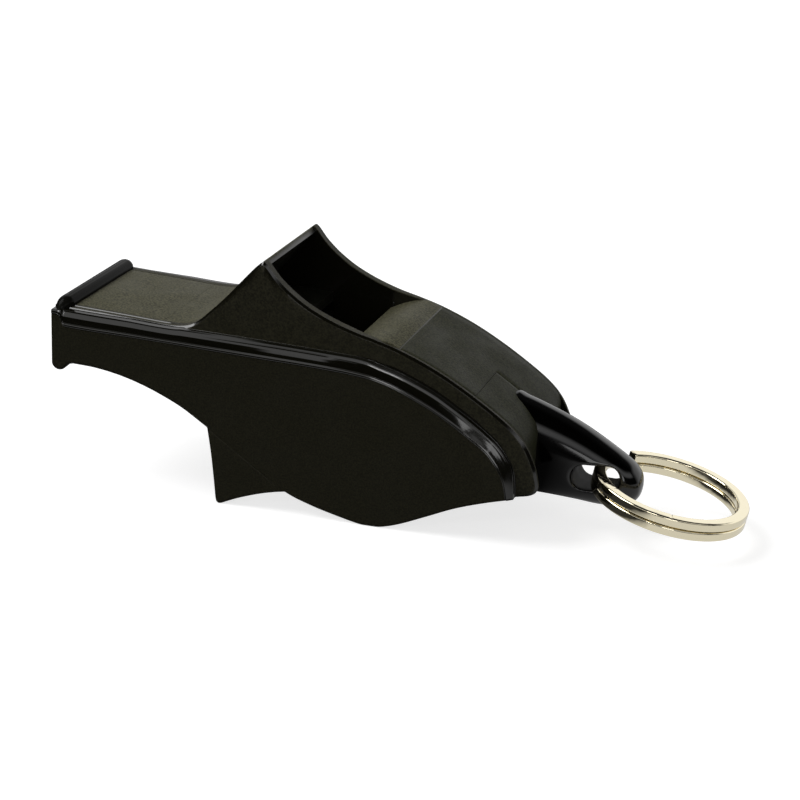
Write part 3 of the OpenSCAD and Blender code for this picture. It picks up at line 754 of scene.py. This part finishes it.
# Stations along the finger: its place, its top and its lower side, and its half width
LOOP_SHARES = [[-0.62, 0.02, 0.012, 0.2], [-0.5, 0.4, 0, 0.6], [-0.4, 0.8, 0, 0.85],
               [-0.3, 0.985, 0, 0.96], [-0.16, 0.95, 0, 1], [0, 0.896, 0, 1], [0.2, 0.818, -0.008, 0.96],
               [0.39, 0.73, -0.02, 0.91], [0.55, 0.642, -0.034, 0.87], [0.68, 0.564, -0.036, 0.82],
               [0.8, 0.488, -0.025, 0.76], [0.9, 0.415, 0.01, 0.66], [0.965, 0.34, 0.075, 0.48],
               [0.99, 0.28, 0.14, 0.27], [1, 0.215, 0.21, 0]]
SECTION_POWER = 2.15
HOLE_L = 4.8
HOLE_H = 2.6
HOLE_FLARE = 0.05
RIM_ROUND = 0.4
# The rows of the hole's wall, those near its rim, how many go on to the outline and how they crowd
# there, and over how many rows the polish comes in
HOLE_ROWS = 6
NEAR_HOLE = np.array([0, 0.01, 0.04, 0.09, 0.15, 0.22, 0.32, 0.45])
SIDE_ROWS = 30
SIDE_POWER = 1.9
POLISH_ROWS = 5
loop_base = LOOP_BASE_SHARE * FIN_H
hole = np.array([TAIL_X + HOLE_PLACE_SHARE * LOOP_L, loop_base + HOLE_HEIGHT_SHARE * LOOP_H])
station = smooth_line(LOOP_SHARES, 16, np.array([LOOP_L, LOOP_H, LOOP_H, LOOP_W / 2]))
station_x = TAIL_X + station[:, 0]
loop_top, loop_low, loop_half = loop_base + station[:, 1], loop_base + station[:, 2], station[:, 3]


def loop_side(point):
    """Half width of the finger at a place in its outline: a rounded square section at each station."""
    top, low = np.interp(point[..., 0], station_x, loop_top), np.interp(point[..., 0], station_x, loop_low)
    height = np.abs(2 * point[..., 1] - top - low) / np.maximum(top - low, 1e-6)
    round_share = np.maximum(0, 1 - np.clip(height, 0, 1) ** SECTION_POWER)
    return np.interp(point[..., 0], station_x, loop_half) * round_share ** (1 / SECTION_POWER)


def loop_points(columns=420):
    """Sections round the hole: through its wall, over its rim, and across the side to the outline.

    The side's points lie on straight lines from the rim to the outline, at the half width that
    loop_side gives, less a quarter circle at the rim, and the other half is the mirror image."""
    outline = np.vstack([np.stack([station_x, loop_top], axis=-1),
                         np.stack([station_x, loop_low], axis=-1)[::-1]])
    outline = np.vstack([outline, outline[:1]])
    far = along(outline, np.linspace(0, lengths(outline)[-1], columns, endpoint=False))
    heading = (far - hole) / np.linalg.norm(far - hole, axis=1)[:, None]
    straight = (HOLE_L - HOLE_H) / 2
    narrow = HOLE_H / 2
    # The ray from the centre leaves the oval through its flat side or through an end circle
    flat = narrow / np.maximum(np.abs(heading[:, 1]), 1e-9)
    forward = np.abs(heading[:, 0]) * straight
    rounded = forward + np.sqrt(np.maximum(0, forward ** 2 - straight ** 2 + narrow ** 2))
    reach = np.where(flat * np.abs(heading[:, 0]) <= straight, flat, rounded)
    wall = hole + heading * reach[:, None]
    centre = hole + np.stack([np.clip(wall[:, 0] - hole[0], -straight, straight), 0 * reach], axis=-1)
    out = (wall - centre) / np.linalg.norm(wall - centre, axis=1)[:, None]
    draft = 2 * HOLE_FLARE / LOOP_W
    rim_y = loop_side(wall + out * HOLE_FLARE)
    rim = wall + out * (draft * rim_y)[:, None]
    sides = []
    for share in np.arange(HOLE_ROWS) / HOLE_ROWS:
        y = (rim_y - RIM_ROUND) * share
        sides.append(np.column_stack([wall + out * (draft * y)[:, None], y]))
    span = np.linalg.norm(far - rim, axis=1)
    t = np.linspace(0, 1, SIDE_ROWS)[1:, None]
    nearest_share = NEAR_HOLE[-1] / span
    place = np.vstack([NEAR_HOLE[:, None] / span,
                       nearest_share + (1 - nearest_share) * (1 - (1 - t) ** SIDE_POWER)])
    side = rim + (far - rim) * place[..., None]
    y = loop_side(side) - round_off(place * span, RIM_ROUND)
    y[-1] = 0
    sides += list(np.concatenate([side, np.maximum(y, 0)[..., None]], axis=-1))
    half = np.stack(sides, axis=1)
    whole = np.concatenate([half, (half * [1, 1, -1])[:, -2:0:-1]], axis=1)
    # The hole's wall keeps the tool's dull finish
    polish = np.interp(np.arange(half.shape[1]), [HOLE_ROWS, HOLE_ROWS + POLISH_ROWS], [0, 1])
    polish = np.concatenate([polish, polish[-2:0:-1]])
    return whole[..., [0, 2, 1]], np.broadcast_to(polish, whole.shape[:2])


loop_plastic = moulded("loop_plastic", (0.004, 0.0036, 0.0032), roughness=0.5, specular=0.5,
                       grain_mm=0.9, grain_depth_mm=0.004, mottle=0.1, sheen=0.1)
finger_points, finger_polish = loop_points()
make_piece("loop_finger", finger_points, tube_faces(*finger_points.shape[:2], closed=True), loop_plastic,
           "whistle", "tail_loop", sharp_deg=60, polish=finger_polish)

# The split ring: flat nickel-plated spring wire in two turns, one on the other, pressed apart at a
# crank behind the loop. Its ends are cut square, and a small crimp crosses its top face.
RING_D = 15.99
WIRE_W = 1.2
WIRE_T = 0.94
TURN_GAP = 0.08
WIRE_ROUND = 0.2
DROOP_DEG = 11.4
# Angles round the ring: where the wire starts, how far it goes, where it steps down to the lower
# turn, and where the crimp is
START_DEG = 135
WIRE_DEG = 676
CRANK_DEG = (322, 358)
CRIMP_DEG = 215
CRIMP_WIDTH_DEG = 0.7
CRIMP_REACH_DEG = 2
CRIMP_DEPTH = 0.05
WIRE_STEP_DEG = 2.5
# Rows close to each end, over which the wire gets a little slimmer
END_DEG = np.array([0, 0.4, 1.2])
END_SLIM_SHARE = 0.12
ring_r = (RING_D - WIRE_W) / 2


def wire_points():
    """A rounded flat section carried round a circle that steps down one layer at the crank.

    The step is the smooth cubic 3t^2 - 2t^3, and the whole ring is tipped by the droop at the hole."""
    turned = np.unique(np.concatenate([np.arange(0, WIRE_DEG, WIRE_STEP_DEG),
                                       CRIMP_DEG + np.linspace(-CRIMP_REACH_DEG, CRIMP_REACH_DEG, 9),
                                       END_DEG, WIRE_DEG - END_DEG]))
    corner = np.radians(np.linspace(0, 90, 6))
    arc = WIRE_ROUND * np.stack([np.cos(corner), np.sin(corner)], axis=-1)
    middle = np.array([WIRE_W / 2, WIRE_T / 2]) - WIRE_ROUND
    quarter = middle + arc
    section = np.vstack([quarter, (quarter * [-1, 1])[::-1], -quarter, (quarter * [1, -1])[::-1]])
    t = np.clip((turned - CRANK_DEG[0]) / (CRANK_DEG[1] - CRANK_DEG[0]), 0, 1)
    level = (WIRE_T + TURN_GAP) / 2 * (1 - 2 * t * t * (3 - 2 * t))
    end = np.minimum(turned, WIRE_DEG - turned)
    slim = 1 - END_SLIM_SHARE * np.clip(1 - end / END_DEG[-1], 0, 1) ** 2
    r = ring_r + section[:, 0] * slim[:, None]
    z = level[:, None] + section[:, 1] * slim[:, None]
    crimp = CRIMP_DEPTH * bell(turned - CRIMP_DEG, CRIMP_WIDTH_DEG)[:, None]
    z = z - crimp * np.clip(section[:, 1] / (WIRE_T / 2), 0, 1)
    angle = np.radians(START_DEG - turned)[:, None]
    flat = np.stack([ring_r + r * np.cos(angle), r * np.sin(angle), z], axis=-1)
    droop = math.radians(DROOP_DEG)
    x = hole[0] + flat[..., 0] * math.cos(droop) + flat[..., 2] * math.sin(droop)
    up = hole[1] - flat[..., 0] * math.sin(droop) + flat[..., 2] * math.cos(droop)
    return np.stack([x, flat[..., 1], up], axis=-1)


# The plate's dull spots and the slow waves in it, by size, and how deep the waves are
SPOT_MM = 0.7
WAVE_MM = 1.6
WAVE_DEPTH_MM = 0.05


def plated(name, color, roughness):
    """Bright nickel plate: slow waves in its face, and small spots up to twice as rough."""
    material = bpy.data.materials.new(name)
    material.use_nodes = True
    tree = material.node_tree
    place = add_node(tree, "TexCoord", {}, "Object")
    rough = ramp(tree, noise(tree, place, SPOT_MM, 5), 0.35, 0.75, roughness, roughness * 2)
    waves = noise(tree, place, WAVE_MM, 2)
    normal = add_node(tree, "Bump", {"Distance": WAVE_DEPTH_MM * MM, "Height": waves}, "Normal")
    feed(tree, tree.nodes["Principled BSDF"],
         {"Base Color": (*color, 1), "Metallic": 1, "Roughness": rough, "Normal": normal})
    return material


ring_metal = plated("ring_metal", (0.93, 0.85, 0.63), 0.045)
ring_points = wire_points()
make_piece("ring_wire", ring_points, tube_faces(*ring_points.shape[:2]), ring_metal, "ring",
           "split_ring")

# The stage: a white floor, four soft lamps, and a white surround. To the camera the floor glows, less near
# the whistle, where the lamps make up the rest and the shadow shows. It sends a little of their light back
# up. To gloss it is a plain glow with painted shade, dark under and in front of the whistle and pale round
# its ring.
FLOOR_HALF = 3.0
FLOOR_COLOR = (0.5, 0.5, 0.5, 1)
BOUNCED_COLOR = (0.3, 0.3, 0.3, 1)
floor_mesh = bpy.data.meshes.new("floor")
floor_mesh.from_pydata([(-FLOOR_HALF, -FLOOR_HALF, 0), (FLOOR_HALF, -FLOOR_HALF, 0),
                        (FLOOR_HALF, FLOOR_HALF, 0), (-FLOOR_HALF, FLOOR_HALF, 0)], [], [(0, 1, 2, 3)])
floor = bpy.data.objects.new("floor", floor_mesh)
bpy.context.scene.collection.objects.link(floor)


def combine(tree, operation, first, second):
    """Two readings joined by one sum."""
    return add_node(tree, "Math", {0: first, 1: second}, "Value", operation=operation)


def x_y_z(tree, vector):
    """The three outputs that hold a vector's parts."""
    return add_node(tree, "SeparateXYZ", {"Vector": vector}, "X").node.outputs


floor_paint = bpy.data.materials.new("floor_paint")
floor_paint.use_nodes = True
paint = floor_paint.node_tree
paint.nodes.clear()
ray = paint.nodes.new("ShaderNodeLightPath").outputs
place = add_node(paint, "TexCoord", {}, "Object")
floor_x, floor_y, _ = x_y_z(paint, place)
from_middle = add_node(paint, "VectorMath", {0: place}, "Value", operation="LENGTH")
white = add_node(paint, "Emission", {"Strength": ramp(paint, from_middle, 0.1, 0.4, 0.75, 1.0)}, "Emission")
lit = add_node(paint, "BsdfDiffuse", {"Color": FLOOR_COLOR}, "BSDF")
seen = add_node(paint, "AddShader", {0: lit, 1: white}, "Shader")
# Painted shade on the floor as gloss sees it: dark under and in front of the whistle, pale round the ring
painted_floor_shade = combine(paint, "MULTIPLY", ramp(paint, floor_x, 0.014, 0.025, 0.03, 0.65),
                      ramp(paint, floor_y, -0.1, -0.04, 0.08, 1.0))
mirrored = add_node(paint, "Emission", {"Strength": painted_floor_shade}, "Emission")
bounced = add_node(paint, "BsdfDiffuse", {"Color": BOUNCED_COLOR}, "BSDF")
unseen = add_node(paint, "MixShader", {"Fac": ray["Is Glossy Ray"], 1: bounced, 2: mirrored}, "Shader")
surface = add_node(paint, "MixShader", {"Fac": ray["Is Camera Ray"], 1: unseen, 2: seen}, "Shader")
feed(paint, paint.nodes.new("ShaderNodeOutputMaterial"), {"Surface": surface})
floor_mesh.materials.append(floor_paint)

# Each lamp's place, its width and depth, and its power. All of them face the whistle
LAMPS = [("key_lamp", (-0.3, -0.1, 0.38), (0.3, 0.3), 1.6),
         ("back_lamp", (-0.3, 0.42, 0.3), (0.5, 0.5), 0.5),
         ("front_lamp", (-0.012, -0.425, 0.263), (0.1, 0.05), 0.12),
         ("tail_lamp", (0.175, -0.45, 0.115), (0.16, 0.12), 0.17)]
for lamp_name, lamp_place, (wide, polish_and_shade_color), watts in LAMPS:
    light = bpy.data.lights.new(lamp_name, "AREA")
    light.shape = "RECTANGLE"
    light.size = wide
    light.size_y = polish_and_shade_color
    light.energy = watts
    lamp = bpy.data.objects.new(lamp_name, light)
    bpy.context.scene.collection.objects.link(lamp)
    lamp.location = lamp_place
    lamp.rotation_euler = (-Vector(lamp_place)).to_track_quat("-Z", "Y").to_euler()

# The surround is white to the camera and a quarter as bright as plain light. Glossy plastic mirrors
# it bright low down behind the whistle and towards its tail, bright in a band above the camera's own
# side, and dark elsewhere.
world = bpy.data.worlds.new("studio")
bpy.context.scene.world = world
world.use_nodes = True
sky = world.node_tree
sky_ray = sky.nodes.new("ShaderNodeLightPath").outputs
sky_x, sky_y, sky_z = x_y_z(sky, add_node(sky, "TexCoord", {}, "Generated"))
low_down = ramp(sky, sky_z, 0.5, 0.66, 1.0, 0.04)
tailward = ramp(sky, sky_x, -0.24, -0.12, 0.04, 1.0)
backward = combine(sky, "MULTIPLY", ramp(sky, sky_y, 0.0, 0.4, 0.02, 1.0), tailward)
band_foot = ramp(sky, sky_z, 0.36, 0.46)
band_head = ramp(sky, sky_z, 0.58, 0.7, 1.0, 0.0)
forward = ramp(sky, sky_y, -0.2, 0.0, 1.0, 0.0)
band = combine(sky, "MULTIPLY", combine(sky, "MULTIPLY", band_foot, band_head), forward)
mirrored_sky = combine(sky, "MAXIMUM", combine(sky, "MULTIPLY", low_down, backward), band)
glossy_share = combine(sky, "MULTIPLY", sky_ray["Is Glossy Ray"], mirrored_sky)
diffuse_share = ramp(sky, sky_ray["Is Diffuse Ray"], 0.0, 1.0, 0.0, 0.25)
shown = combine(sky, "MAXIMUM", sky_ray["Is Camera Ray"], sky_ray["Is Transmission Ray"])
level = combine(sky, "MAXIMUM", shown, combine(sky, "MAXIMUM", glossy_share, diffuse_share))
feed(sky, sky.nodes["Background"], {"Color": (1, 1, 1, 1), "Strength": level})
bpy.context.scene.view_settings.view_transform = "Standard"
